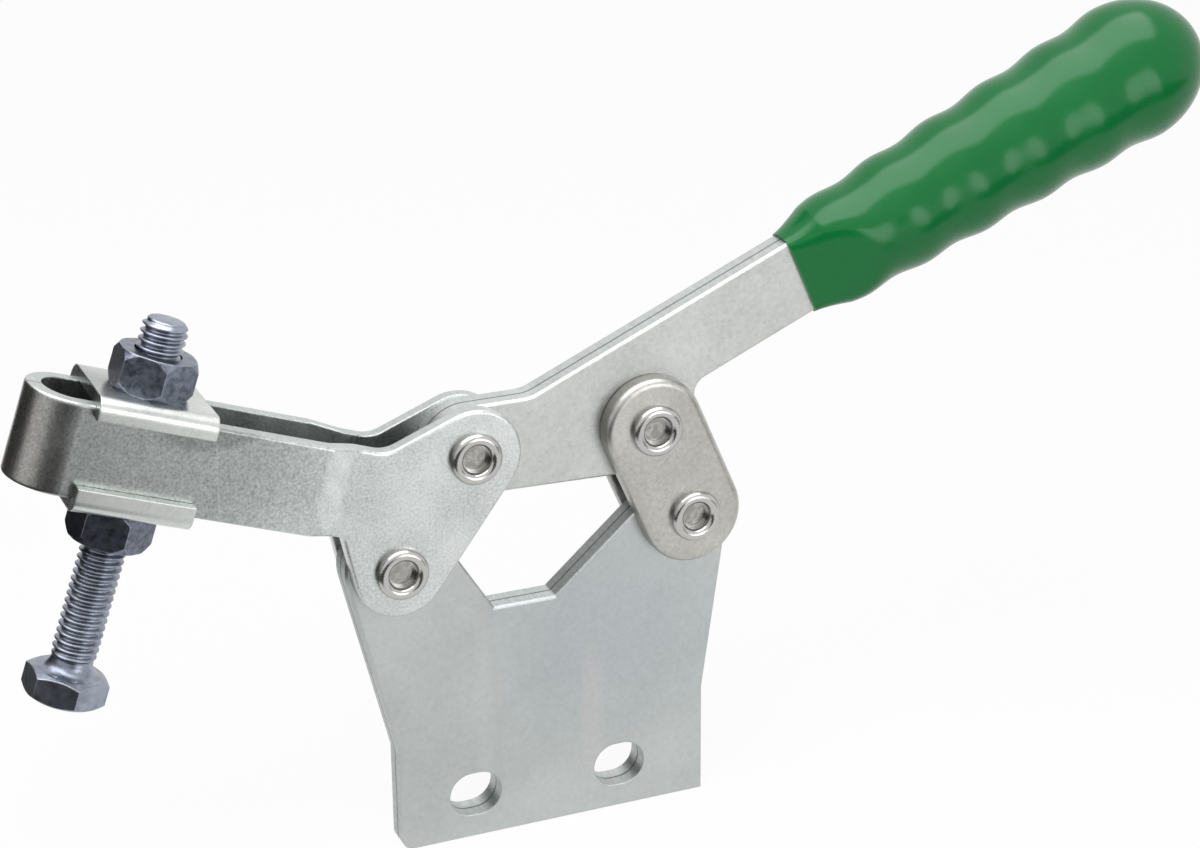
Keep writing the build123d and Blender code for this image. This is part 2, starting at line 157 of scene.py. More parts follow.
def sheetSteel(finish):
    material, tree, shader, point = newMaterial(finish["name"])
    patch = addNode(tree, "ShaderNodeTexNoise", inputs={
        "Vector": point, "Scale": 1 / (finish["patch"] * mm), "Detail": 5.0, "Roughness": 0.6})
    grain = addNode(tree, "ShaderNodeTexNoise", inputs={
        "Vector": point, "Scale": 1 / (finish["grain"] * mm), "Detail": 8.0, "Roughness": 0.75})
    turned = addNode(tree, "ShaderNodeMapping", inputs={
        "Vector": point, "Rotation": (0, math.radians(finish["lineTilt"]), 0),
        "Scale": (1, 1, hairlineStretch)})
    hairline = addNode(tree, "ShaderNodeTexNoise", inputs={
        "Vector": turned, "Scale": 1 / (hairlineWidth * mm), "Detail": 3.0, "Roughness": 0.6})
    patchShare = addNode(tree, "ShaderNodeMapRange", inputs={
        "Value": patch, "From Min": 0.35, "From Max": 0.65})
    color = addNode(tree, "ShaderNodeMix", {"data_type": "RGBA"}, {
        0: patchShare, 6: hexColor(finish["dark"]), 7: hexColor(finish["light"])}).outputs[2]

    # Each listed spot mixes its colour in over a soft ellipsoid; most are painted shade and painted
    # highlights.
    for spot in finish["paintedLightAndToneSpots"]:
        extent = Vector(spot["reach"])
        offset = Vector([-c / e for c, e in zip(spot["centre"], extent)])
        near = addNode(tree, "ShaderNodeMapping", inputs={
            "Vector": point, "Location": offset, "Scale": Vector([1 / (e * mm) for e in extent])})
        inside = addNode(tree, "ShaderNodeTexGradient", {"gradient_type": "SPHERICAL"}, {
            "Vector": near})
        soft = addNode(tree, "ShaderNodeMapRange", {"interpolation_type": "SMOOTHSTEP"}, {
            "Value": inside.outputs["Fac"], "From Min": 0.0, "From Max": spot["full"],
            "To Max": spot["share"]})
        color = addNode(tree, "ShaderNodeMix", {"data_type": "RGBA"}, {
            0: soft, 6: color, 7: hexColor(spot["color"])}).outputs[2]

    speck = addNode(tree, "ShaderNodeMapRange", inputs={
        "Value": grain, "From Min": 0.3, "From Max": 0.7, "To Min": 0.2, "To Max": 0.8})
    color = addNode(tree, "ShaderNodeMix", {"data_type": "RGBA", "blend_type": "OVERLAY"}, {
        0: finish["speckle"], 6: color, 7: speck}).outputs[2]
    pit = addNode(tree, "ShaderNodeMapRange", inputs={
        "Value": grain, "From Min": 0.36, "From Max": 0.30})
    pit = addNode(tree, "ShaderNodeMath", {"operation": "MULTIPLY"}, {0: pit, 1: finish["pits"]})
    color = addNode(tree, "ShaderNodeMix", {"data_type": "RGBA"}, {
        0: pit, 6: color, 7: hexColor(pitColor)}).outputs[2]
    line = addNode(tree, "ShaderNodeMapRange", inputs={
        "Value": hairline, "From Min": 0.62, "From Max": 0.72, "To Max": finish["lines"]})
    color = addNode(tree, "ShaderNodeMix", {"data_type": "RGBA"}, {
        0: line, 6: color, 7: hexColor(finish["light"])}).outputs[2]

    rounded = addNode(tree, "ShaderNodeBevel", {"samples": 6}, {"Radius": finish["roundness"] * mm})
    relief = addNode(tree, "ShaderNodeBump", inputs={
        "Height": grain, "Distance": finish["relief"] * mm, "Strength": 1.0, "Normal": rounded})
    rough = addNode(tree, "ShaderNodeMapRange", inputs={
        "Value": patch, "From Min": 0.3, "From Max": 0.7,
        "To Min": finish["rough"][0], "To Max": finish["rough"][1]})

    # Sheared edges are told from the rolled faces by the way they face. A dark seam shows where
    # two sheets meet at the middle of the stack.
    if "edge" in finish:
        facing = addNode(tree, "ShaderNodeTexCoord").outputs["Normal"]
        facing = addNode(tree, "ShaderNodeMapping", inputs={
            "Vector": facing, "Rotation": (0, math.radians(finish["lineTilt"]), 0),
            "Scale": finish["shearedSides"]})
        facing = addNode(tree, "ShaderNodeVectorMath", {"operation": "LENGTH"}, {
            0: facing}).outputs["Value"]
        sheared = addNode(tree, "ShaderNodeMapRange", inputs={
            "Value": facing, "From Min": 0.85, "From Max": 0.97})
        across = addNode(tree, "ShaderNodeMapping", inputs={"Vector": point, "Scale": (1, 0.2, 1)})
        streak = addNode(tree, "ShaderNodeTexNoise", inputs={
            "Vector": across, "Scale": 1 / (hairlineWidth * mm), "Detail": 6.0, "Roughness": 0.8})
        streak = addNode(tree, "ShaderNodeMapRange", inputs={
            "Value": streak, "From Min": 0.25, "From Max": 0.75})
        edgeColor = addNode(tree, "ShaderNodeMix", {"data_type": "RGBA"}, {
            0: streak, 6: hexColor(finish["edge"][0]), 7: hexColor(finish["edge"][1])}).outputs[2]
        depth = addNode(tree, "ShaderNodeSeparateXYZ", inputs={0: point}).outputs["Y"]
        depth = addNode(tree, "ShaderNodeMath", {"operation": "ABSOLUTE"}, {0: depth})
        seam = addNode(tree, "ShaderNodeMapRange", inputs={
            "Value": depth, "From Min": 0.22 * mm, "From Max": 0.06 * mm, "To Max": 0.8})
        edgeColor = addNode(tree, "ShaderNodeMix", {"data_type": "RGBA"}, {
            0: seam, 6: edgeColor, 7: hexColor(seamColor)}).outputs[2]
        color = addNode(tree, "ShaderNodeMix", {"data_type": "RGBA"}, {
            0: sheared, 6: color, 7: edgeColor}).outputs[2]
        rough = addNode(tree, "ShaderNodeMath", {"operation": "MULTIPLY_ADD"}, {
            0: sheared, 1: shearedRoughness, 2: rough})

    finishMetal(tree, shader, color, rough, relief)
    return material


# Sizes are in millimetres, and the centre and reach of a spot are in the part's frame. Edge holds
# the dark and light colours of the sheared edges. Sheared sides are the directions that such an
# edge can face, along and across the hairlines: the arm's front and back are bent, so only its
# upper and lower edges are sheared.
baseFinish = {
    "name": "zinc-plated steel, base",
    "light": "C2C6C4",
    "dark": "B3B8B7",
    "patch": 22.0,
    "grain": 0.6,
    "speckle": 0.14,
    "pits": 0.15,
    "lineTilt": 12.0,
    "lines": 0.25,
    "paintedLightAndToneSpots": [
        # Painted shade: the plate darker and bluer towards its middle, standing in for darker
        # surroundings in its reflection.
        {"centre": (9.0, 0.0, 20.0), "reach": (26.0, 30.0, 24.0),
         "full": 0.8, "share": 0.6, "color": "ABB2B5"},
        {"centre": (6.6, -2.0, 9.0), "reach": (2.4, 9.0, 12.0),
         "full": 0.6, "share": 0.3, "color": "C9C5C1"},
        # Painted highlight: a narrow lighter strip along the plate's left edge.
        {"centre": (-9.0, -2.0, 12.0), "reach": (2.0, 9.0, 16.0),
         "full": 0.6, "share": 0.15, "color": "CBCFCD"},
    ],
    "shearedSides": (1, 0, 1),
    "edge": ("A3A9A9", "CCD1CF"),
    "roundness": 0.25,
    "relief": 0.002,
    "rough": (0.30, 0.42),
}
armFinish = {
    "name": "zinc-plated steel, arm",
    "light": "D3D7D5",
    "dark": "C1C5C4",
    "patch": 9.0,
    "grain": 0.38,
    "speckle": 0.75,
    "pits": 0.8,
    "lineTilt": -19.4,
    "lines": 0.3,
    "paintedLightAndToneSpots": [
        # Painted shade: the arm's front darker over its middle, towards the washers.
        {"centre": (-54.0, -6.0, 58.0), "reach": (34.0, 18.0, 22.0), "full": 0.6, "share": 0.8,
         "color": "9A9F9D"},
        # The nose warmer and a little darker: partly its brushed finish, partly painted shade for its
        # dark reflection.
        {"centre": (-72.0, 0.0, 62.0), "reach": (13.0, 14.0, 16.0), "full": 0.5, "share": 0.7,
         "color": "CAC6C1"},
        # Painted shadow: a dark narrow band along the arm, next to the washers.
        {"centre": (-43.5, -6.0, 60.5), "reach": (9.0, 14.0, 4.0),
         "full": 0.3, "share": 0.6, "color": "7F8482"},
        # Painted highlight: a light band down the joggle bend, laid as three overlapping spots.
        {"centre": (-29.8, -8.0, 46.5), "reach": (2.6, 6.0, 5.5),
         "full": 0.3, "share": 0.4, "color": "E6EAE8"},
        {"centre": (-28.6, -8.0, 50.5), "reach": (2.6, 6.0, 5.5),
         "full": 0.3, "share": 0.4, "color": "E6EAE8"},
        {"centre": (-27.4, -8.0, 54.5), "reach": (2.6, 6.0, 5.5),
         "full": 0.3, "share": 0.4, "color": "E6EAE8"},
    ],
    "shearedSides": (0, 0, 1),
    "edge": ("A3A9A7", "CBD0CD"),
    "roundness": 0.35,
    "relief": 0.012,
    "rough": (0.24, 0.38),
}
handleFinish = {
    "name": "zinc-plated steel, handle",
    "light": "C9CBC8",
    "dark": "BABCB9",
    "patch": 16.0,
    "grain": 0.6,
    "speckle": 0.3,
    "pits": 0.35,
    "lineTilt": -66.0,
    "lines": 0.3,
    "paintedLightAndToneSpots": [
        # Painted shade: the plate a little darker and cooler over its middle.
        {"centre": (4.0, -2.0, 50.0), "reach": (20.0, 20.0, 12.0),
         "full": 0.8, "share": 0.3, "color": "BCC0BD"},
    ],
    "shearedSides": (1, 0, 1),
    "edge": ("A4A9A8", "C6CAC8"),
    "roundness": 0.18,
    "relief": 0.004,
    "rough": (0.34, 0.46),
}
washerFinish = {
    "name": "zinc-plated steel, washers",
    "light": "D6DAD6",
    "dark": "C4C8C4",
    "patch": 6.0,
    "grain": 0.6,
    "speckle": 0.2,
    "pits": 0.2,
    "lineTilt": 70.0,
    "lines": 0.1,
    "paintedLightAndToneSpots": [
        # Painted shade: the flat plates of both washers darkened, the nut's shadow included, while the
        # bends stay bright.
        {"centre": (-54.0, 0.0, 69.0), "reach": (30.0, 8.6, 9.0),
         "full": 0.8, "share": 0.95, "color": "9CA19F"},
    ],
    "roundness": 0.3,
    "relief": 0.004,
    "rough": (0.22, 0.34),
}
linkFinish = {
    "name": "tumbled plated steel, link",
    "light": "C0BFBA",
    "dark": "B1B0AB",
    "patch": 9.0,
    "grain": 0.6,
    "speckle": 0.3,
    "pits": 0.3,
    "lineTilt": 24.0,
    "lines": 0.2,
    "paintedLightAndToneSpots": [],
    "shearedSides": (1, 0, 1),
    "edge": ("A09E9A", "C3C1BC"),
    "roundness": 0.55,
    "relief": 0.005,
    "rough": (0.26, 0.36),
}


# Cold-headed rivet steel, rolled over by a spinning tool: bright, smooth and neutral, with faint
# rings, and painted shade in the cup, which is darker there and mottled by swirled smudges.
rivetFinish = {
    "rim": "BDBCB9",
    "cup": "96958F",
    "cupRadius": 1.9,
    "ring": 0.42,
    "ringRelief": 0.003,
    "swirl": 1.4,
    "swirlRelief": 0.008,
    "rough": (0.18, 0.30),
}


def rolledSteel(name, finish):
    low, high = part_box(name)
    material, tree, shader, point = newMaterial(f"rolled steel, {name}")
    centred = addNode(tree, "ShaderNodeMapping", inputs={
        "Vector": point, "Location": -(low + high) / 2})
    flattened = addNode(tree, "ShaderNodeVectorMath", {"operation": "MULTIPLY"}, {
        0: centred, 1: (1, 0, 1)})
    radius = addNode(tree, "ShaderNodeVectorMath", {"operation": "LENGTH"}, {
        0: flattened}).outputs["Value"]
    swirl = addNode(tree, "ShaderNodeTexNoise", inputs={
        "Vector": point, "Scale": 1 / (finish["swirl"] * mm), "Detail": 3.0, "Distortion": 1.6})
    # Painted shade: the cup darker towards its middle, broken up by swirled smudges.
    cupShadeMask = addNode(tree, "ShaderNodeMapRange", {"interpolation_type": "SMOOTHSTEP"}, {
        "Value": radius, "From Min": finish["cupRadius"] * mm,
        "From Max": 0.8 * finish["cupRadius"] * mm})
    tint = addNode(tree, "ShaderNodeMath", {"operation": "MULTIPLY"}, {0: cupShadeMask, 1: swirl})
    tint = addNode(tree, "ShaderNodeMapRange", inputs={"Value": tint, "From Min": 0.2, "From Max": 0.6})
    color = addNode(tree, "ShaderNodeMix", {"data_type": "RGBA"}, {
        0: tint, 6: hexColor(finish["rim"]), 7: hexColor(finish["cup"])}).outputs[2]
    ring = addNode(tree, "ShaderNodeTexWave", {"wave_type": "RINGS", "rings_direction": "Y"}, {
        "Vector": centred, "Scale": 0.314 / (finish["ring"] * mm), "Distortion": 1.5, "Detail": 1.0})
    relief = addNode(tree, "ShaderNodeBump", inputs={
        "Height": ring, "Distance": finish["ringRelief"] * mm, "Strength": 1.0})
    relief = addNode(tree, "ShaderNodeBump", inputs={
        "Height": swirl, "Distance": finish["swirlRelief"] * mm, "Strength": 1.0, "Normal": relief})
    rough = addNode(tree, "ShaderNodeMapRange", inputs={
        "Value": swirl, "To Min": finish["rough"][0], "To Max": finish["rough"][1]})
    finishMetal(tree, shader, color, rough, relief)
    return material


# Hardened and ground bush, seen edge-on inside the pivots: fine straight grinding marks.
def groundSteel():
    material, tree, shader, point = newMaterial("ground hardened steel")
    along = addNode(tree, "ShaderNodeMapping", inputs={"Vector": point, "Scale": (1, 8, 1)})
    marks = addNode(tree, "ShaderNodeTexNoise", inputs={
        "Vector": along, "Scale": 1 / (2.0 * mm), "Detail": 2.0})
    color = addNode(tree, "ShaderNodeMix", {"data_type": "RGBA"}, {
        0: marks, 6: hexColor("76787A"), 7: hexColor("8E9092")}).outputs[2]
    rough = addNode(tree, "ShaderNodeMapRange", inputs={"Value": marks, "To Min": 0.25, "To Max": 0.35})
    finishMetal(tree, shader, color, rough)
    return material


# Blue-passivated machine screw steel: dark blue-grey and half glossy, with a cloudy film, lighter
# rubs on the corners and a fine drawn grain. The nuts have kept more of their dark film.
rubColor = "C6CAD3"
screwFinish = {
    "light": "A6ACB9",
    "dark": "7A808D",
    "tint": 2.4,
    "grain": 0.3,
    "edge": 0.25,
    "relief": 0.008,
    "rough": (0.24, 0.44),
}
nutFinish = {**screwFinish, "light": "8B91A0", "dark": "565C68", "tint": 0.9, "relief": 0.012}


def screwSteel(name, finish):
    material, tree, shader, point = newMaterial(f"blue-passivated steel, {name}")
    tint = addNode(tree, "ShaderNodeTexNoise", inputs={
        "Vector": point, "Scale": 1 / (finish["tint"] * mm), "Detail": 5.0, "Roughness": 0.65})
    grain = addNode(tree, "ShaderNodeTexNoise", inputs={
        "Vector": point, "Scale": 1 / (finish["grain"] * mm), "Detail": 2.0})
    share = addNode(tree, "ShaderNodeMapRange", inputs={
        "Value": tint, "From Min": 0.34, "From Max": 0.68})
    color = addNode(tree, "ShaderNodeMix", {"data_type": "RGBA"}, {
        0: share, 6: hexColor(finish["dark"]), 7: hexColor(finish["light"])}).outputs[2]
    rounded = addNode(tree, "ShaderNodeBevel", {"samples": 6}, {"Radius": finish["edge"] * mm})
    flat = addNode(tree, "ShaderNodeNewGeometry").outputs["Normal"]
    facing = addNode(tree, "ShaderNodeVectorMath", {"operation": "DOT_PRODUCT"}, {
        0: rounded, 1: flat}).outputs["Value"]
    rub = addNode(tree, "ShaderNodeMapRange", inputs={
        "Value": facing, "From Min": 0.99, "From Max": 0.9, "To Max": 0.6})
    color = addNode(tree, "ShaderNodeMix", {"data_type": "RGBA"}, {
        0: rub, 6: color, 7: hexColor(rubColor)}).outputs[2]
    relief = addNode(tree, "ShaderNodeBump", inputs={
        "Height": grain, "Distance": finish["relief"] * mm, "Strength": 1.0, "Normal": rounded})
    rough = addNode(tree, "ShaderNodeMapRange", inputs={
        "Value": tint, "To Min": finish["rough"][0], "To Max": finish["rough"][1]})
    finishMetal(tree, shader, color, rough, relief)
    return material


# Dip-moulded green plastisol (soft PVC): a saturated, even body colour under a glossy skin that
# is very slightly uneven, as dipped skins are.
gripFinish = {
    "light": "067236",
    "dark": "046831",
    "shade": 16.0,
    "skin": 2.5,
    "relief": 0.006,
    "rough": (0.18, 0.23),
    "specular": 0.26,
    "subsurface": 0.06,
    "glowRadius": (0.3, 1.0, 0.4),
}


def dippedGreen(finish):
    material, tree, shader, point = newMaterial("green plastisol")
    shade = addNode(tree, "ShaderNodeTexNoise", inputs={
        "Vector": point, "Scale": 1 / (finish["shade"] * mm), "Detail": 2.0})
    skin = addNode(tree, "ShaderNodeTexNoise", inputs={
        "Vector": point, "Scale": 1 / (finish["skin"] * mm), "Detail": 1.0})
    color = addNode(tree, "ShaderNodeMix", {"data_type": "RGBA"}, {
        0: shade, 6: hexColor(finish["dark"]), 7: hexColor(finish["light"])}).outputs[2]
    rough = addNode(tree, "ShaderNodeMapRange", inputs={
        "Value": skin, "To Min": finish["rough"][0], "To Max": finish["rough"][1]})
    relief = addNode(tree, "ShaderNodeBump", inputs={
        "Height": skin, "Distance": finish["relief"] * mm, "Strength": 1.0})
    tree.links.new(color, shader.inputs["Base Color"])
    tree.links.new(rough.outputs[0], shader.inputs["Roughness"])
    tree.links.new(relief.outputs[0], shader.inputs["Normal"])
    shader.inputs["IOR"].default_value = 1.53
    shader.inputs["Specular IOR Level"].default_value = finish["specular"]
    shader.inputs["Subsurface Weight"].default_value = finish["subsurface"]
    shader.inputs["Subsurface Radius"].default_value = Vector(finish["glowRadius"]) * mm
    shader.inputs["Subsurface Scale"].default_value = 1.0
    return material


baseZinc = sheetSteel(baseFinish)
armZinc = sheetSteel(armFinish)
handleZinc = sheetSteel(handleFinish)
washerZinc = sheetSteel(washerFinish)
linkZinc = sheetSteel(linkFinish)
bushSteel = groundSteel()
boltSteel = screwSteel("spindle", screwFinish)
nutSteel = screwSteel("nuts", nutFinish)
gripGreen = dippedGreen(gripFinish)

nodeFinish = {
    "base_plate_front": baseZinc,
    "base_plate_back": baseZinc,
    "arm_pivot_bush": bushSteel,
    "link_pivot_bush": bushSteel,
    "handle_pivot_bush": bushSteel,
    "clamping_arm": armZinc,
    "handle_plate_front": handleZinc,
    "handle_plate_back": handleZinc,
    "link_plate_front": linkZinc,
    "link_plate_back": linkZinc,
    "flanged_washer_top": washerZinc,
    "flanged_washer_bottom": washerZinc,
    "upper_nut": nutSteel,
    "lower_nut": nutSteel,
    "spindle": boltSteel,
    "grip": gripGreen,
}
for rivetName in ("arm_pivot_rivet", "handle_pivot_rivet", "toggle_rivet", "link_pivot_rivet"):
    nodeFinish[rivetName] = rolledSteel(rivetName, rivetFinish)

for nodeName, finish in nodeFinish.items():
    node = frame["nodes"][nodeName]
    node.data.materials.clear()
    node.data.materials.append(finish)
print("stage: CAD nodes finished")


mergeDistance = 0.002       # mm, joins the rows that a tree lays on top of each other


# An empty Geometry Nodes tree with its named inputs, all in millimetres.
def newTree(name, sizes):
    tree = bpy.data.node_groups.new(name, "GeometryNodeTree")
    for size in sizes:
        tree.interface.new_socket(size, in_out="INPUT", socket_type="NodeSocketFloat")
    tree.interface.new_socket("Geometry", in_out="OUTPUT", socket_type="NodeSocketGeometry")
    return tree, addNode(tree, "NodeGroupInput").outputs


# Runs a tree on an empty mesh, keeps the result as a plain mesh and puts it in its place.
def pieceFromTree(name, tree, sizes, place, sharpAngle):
    holder = bpy.data.objects.new("holder", bpy.data.meshes.new("holder"))
    bpy.context.collection.objects.link(holder)
    modifier = holder.modifiers.new("shape", "NODES")
    modifier.node_group = tree
    for socket in tree.interface.items_tree:
        if socket.in_out == "INPUT":
            modifier[socket.identifier] = float(sizes[socket.name])
    graph = bpy.context.evaluated_depsgraph_get()
    mesh = bpy.data.meshes.new_from_object(holder.evaluated_get(graph))
    bpy.data.objects.remove(holder)
    mesh.name = name
    mesh.transform(place @ Matrix.Scale(mm, 4))
    shell = bmesh.new()
    shell.from_mesh(mesh)
    bmesh.ops.recalc_face_normals(shell, faces=shell.faces)
    shell.to_mesh(mesh)
    shell.free()
    mesh.shade_smooth()
    mesh.set_sharp_from_angle(angle=math.radians(sharpAngle))
    piece = bpy.data.objects.new(name, mesh)
    bpy.context.collection.objects.link(piece)
    return piece


# Lowest and highest reach of a CAD node along a direction, in metres.
def reach(nodeName, direction):
    along = [vertex.co.dot(direction) for vertex in frame["nodes"][nodeName].data.vertices]
    return min(along), max(along)


# Threaded spindle: M6 thread rolled over the whole shank, a smooth shoulder and a hexagon head.
spindleSizes = {
    "Pitch": 1.0,
    "Crest Radius": 2.94,
    "Root Radius": 2.42,
    "Plain Radius": 2.68,
    "Runout Start": 1.2,
    "Runout End": 3.0,
    "Shoulder Radius": 1.7,
    "Tip Radius": 2.2,
    "Head Height": 3.8,
    "Head Flats": 9.55,
    "Head Turn": 32.0,
    "Bevel Share": 0.92,
}
threadRows = 10             # rows of points per turn of thread
threadTurns = 50
threadColumns = 48
spareTurns = 2.0            # turns before the shank starts, which close its head end
coneColumns = 96
spindleSharp = 28.0         # degrees, sharper edges than this stay sharp


def spindleTree(material):
    tree, size = newTree("rolled thread and hexagon head", [*spindleSizes, "Length"])
    grid = addNode(tree, "GeometryNodeMeshGrid", inputs={
        "Size X": 1.0, "Size Y": 1.0, "Vertices X": threadRows * threadTurns + 1,
        "Vertices Y": threadColumns + 1})
    flat = addNode(tree, "ShaderNodeSeparateXYZ", inputs={
        0: addNode(tree, "GeometryNodeInputPosition")})
    # Each column starts a little higher, so that the rows run along the helix.
    turns = addNode(tree, "ShaderNodeMath", {"operation": "MULTIPLY_ADD"}, {
        0: flat.outputs["X"], 1: float(threadTurns), 2: threadTurns / 2 - spareTurns})
    around = addNode(tree, "ShaderNodeMath", {"operation": "ADD"}, {0: flat.outputs["Y"], 1: 0.5})
    raised = addNode(tree, "ShaderNodeMath", {"operation": "ADD"}, {0: turns, 1: around})
    raw = addNode(tree, "ShaderNodeMath", {"operation": "MULTIPLY"}, {0: raised, 1: size["Pitch"]})
    height = addNode(tree, "ShaderNodeClamp", inputs={"Value": raw, "Min": 0.0, "Max": size["Length"]})

    # Ridge between crest and root: 0 on the root flat, 1 on the crest flat.
    phase = addNode(tree, "ShaderNodeMath", {"operation": "PINGPONG"}, {0: turns, 1: 0.5})
    ridge = addNode(tree, "ShaderNodeMapRange", inputs={
        "Value": phase, "From Min": 0.125, "From Max": 0.4375})
    threaded = addNode(tree, "ShaderNodeMapRange", inputs={
        "Value": ridge, "To Min": size["Root Radius"], "To Max": size["Crest Radius"]})
    runout = addNode(tree, "ShaderNodeMapRange", {"interpolation_type": "SMOOTHSTEP"}, {
        "Value": height, "From Min": size["Runout Start"], "From Max": size["Runout End"]})
    shank = addNode(tree, "ShaderNodeMix", {"data_type": "FLOAT"}, {
        0: runout, 2: size["Plain Radius"], 3: threaded})

    # Shoulder: a quarter round that flares into the head.
    below = addNode(tree, "ShaderNodeMath", {"operation": "SUBTRACT"}, {
        0: size["Shoulder Radius"], 1: height})
    below = addNode(tree, "ShaderNodeMath", {"operation": "MAXIMUM"}, {0: below, 1: 0.0})
    below = addNode(tree, "ShaderNodeMath", {"operation": "DIVIDE"}, {
        0: below, 1: size["Shoulder Radius"]})
    rise = addNode(tree, "ShaderNodeMath", {"operation": "ARCSINE"}, {0: below})
    rise = addNode(tree, "ShaderNodeMath", {"operation": "COSINE"}, {0: rise})
    flare = addNode(tree, "ShaderNodeMath", {"operation": "SUBTRACT"}, {0: 1.0, 1: rise})
    flared = addNode(tree, "ShaderNodeMath", {"operation": "MULTIPLY_ADD"}, {
        0: flare, 1: size["Shoulder Radius"], 2: shank})
    toTip = addNode(tree, "ShaderNodeMath", {"operation": "SUBTRACT"}, {0: size["Length"], 1: height})
    lead = addNode(tree, "ShaderNodeMath", {"operation": "ADD"}, {0: toTip, 1: size["Tip Radius"]})
    radius = addNode(tree, "ShaderNodeMath", {"operation": "SMOOTH_MIN"}, {0: flared, 1: lead, 2: 0.25})

    # Past either end the skin shrinks to the axis, which closes it.
    above = addNode(tree, "ShaderNodeMath", {"operation": "SUBTRACT"}, {0: raw, 1: size["Length"]})
    under = addNode(tree, "ShaderNodeMath", {"operation": "MULTIPLY"}, {0: raw, 1: -1.0})
    past = addNode(tree, "ShaderNodeMath", {"operation": "MAXIMUM"}, {0: above, 1: under})
    closing = addNode(tree, "ShaderNodeMapRange", inputs={
        "Value": past, "From Min": 0.0, "From Max": 0.7, "To Min": 1.0, "To Max": 0.0})
    radius = addNode(tree, "ShaderNodeMath", {"operation": "MULTIPLY"}, {0: radius, 1: closing})
    angle = addNode(tree, "ShaderNodeMath", {"operation": "MULTIPLY"}, {0: around, 1: 2 * math.pi})
    east = addNode(tree, "ShaderNodeMath", {"operation": "COSINE"}, {0: angle})
    east = addNode(tree, "ShaderNodeMath", {"operation": "MULTIPLY"}, {0: east, 1: radius})
    north = addNode(tree, "ShaderNodeMath", {"operation": "SINE"}, {0: angle})
    north = addNode(tree, "ShaderNodeMath", {"operation": "MULTIPLY"}, {0: north, 1: radius})
    place = addNode(tree, "ShaderNodeCombineXYZ", inputs={"X": east, "Y": north, "Z": height})
    shaft = addNode(tree, "GeometryNodeSetPosition", inputs={
        "Geometry": grid.outputs["Mesh"], "Position": place})
    shaft = addNode(tree, "GeometryNodeMergeByDistance", inputs={
        "Geometry": shaft, "Distance": mergeDistance})

    # Head: a hexagon cut by two steep cones, which turn off its corners at 30 degrees.
    corner = addNode(tree, "ShaderNodeMath", {"operation": "DIVIDE"}, {
        0: size["Head Flats"], 1: math.sqrt(3)})
    hexagon = addNode(tree, "GeometryNodeMeshCylinder", inputs={
        "Vertices": 6, "Radius": corner, "Depth": size["Head Height"]})
    middle = addNode(tree, "ShaderNodeMath", {"operation": "MULTIPLY"}, {
        0: size["Head Height"], 1: -0.5})
    centre = addNode(tree, "ShaderNodeCombineXYZ", inputs={"Z": middle})
    turn = addNode(tree, "ShaderNodeMath", {"operation": "RADIANS"}, {0: size["Head Turn"]})
    turned = addNode(tree, "ShaderNodeCombineXYZ", inputs={"Z": turn})
    hexagon = addNode(tree, "GeometryNodeTransform", inputs={
        "Geometry": hexagon.outputs["Mesh"], "Translation": centre, "Rotation": turned})
    endFlats = addNode(tree, "ShaderNodeMath", {"operation": "MULTIPLY"}, {
        0: size["Head Flats"], 1: size["Bevel Share"]})
    endRadius = addNode(tree, "ShaderNodeMath", {"operation": "MULTIPLY"}, {0: endFlats, 1: 0.5})
    coneHeight = addNode(tree, "ShaderNodeMath", {"operation": "ADD"}, {0: size["Head Height"], 1: 2.0})
    narrow = addNode(tree, "ShaderNodeMath", {"operation": "SUBTRACT"}, {0: endRadius, 1: math.sqrt(3)})
    wide = addNode(tree, "ShaderNodeMath", {"operation": "MULTIPLY_ADD"}, {
        0: coneHeight, 1: math.sqrt(3), 2: narrow})
    coneFoot = addNode(tree, "ShaderNodeMath", {"operation": "SUBTRACT"}, {0: 1.0, 1: coneHeight})
    coneFoot = addNode(tree, "ShaderNodeCombineXYZ", inputs={"Z": coneFoot})
    cones = []
    for top, bottom in ((wide, narrow), (narrow, wide)):
        cone = addNode(tree, "GeometryNodeMeshCone", inputs={
            "Vertices": coneColumns, "Radius Top": top, "Radius Bottom": bottom, "Depth": coneHeight})
        cones.append(addNode(tree, "GeometryNodeTransform", inputs={
            "Geometry": cone.outputs["Mesh"], "Translation": coneFoot}))
    head = addNode(tree, "GeometryNodeMeshBoolean", {"operation": "INTERSECT", "solver": "EXACT"}, {
        "Mesh 2": [hexagon, *cones]})
    joined = addNode(tree, "GeometryNodeJoinGeometry", inputs={"Geometry": [shaft, head]})
    real = addNode(tree, "GeometryNodeRealizeInstances", inputs={"Geometry": joined})
    finished = addNode(tree, "GeometryNodeSetMaterial", inputs={"Geometry": real, "Material": material})
    addNode(tree, "NodeGroupOutput", inputs={"Geometry": finished})
    return tree


def makeSpindle():
    up = Vector(joints["spindle_height"]["axis"])
    along = Vector(joints["spindle_position"]["axis"])
    foot, tip = reach("spindle", up)
    centre = sum(reach("spindle", along)) / 2
    headTop = foot + spindleSizes["Head Height"] * mm
    sizes = {**spindleSizes, "Length": (tip - headTop) / mm}
    turn = Matrix((along, up.cross(along), up)).transposed().to_4x4()
    place = Matrix.Translation(along * centre + up * headTop) @ turn
    spindle = pieceFromTree("threaded_spindle", spindleTree(boltSteel), sizes, place, spindleSharp)
    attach(spindle, "spindle")
    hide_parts("spindle")


makeSpindle()
print("stage: threaded spindle")


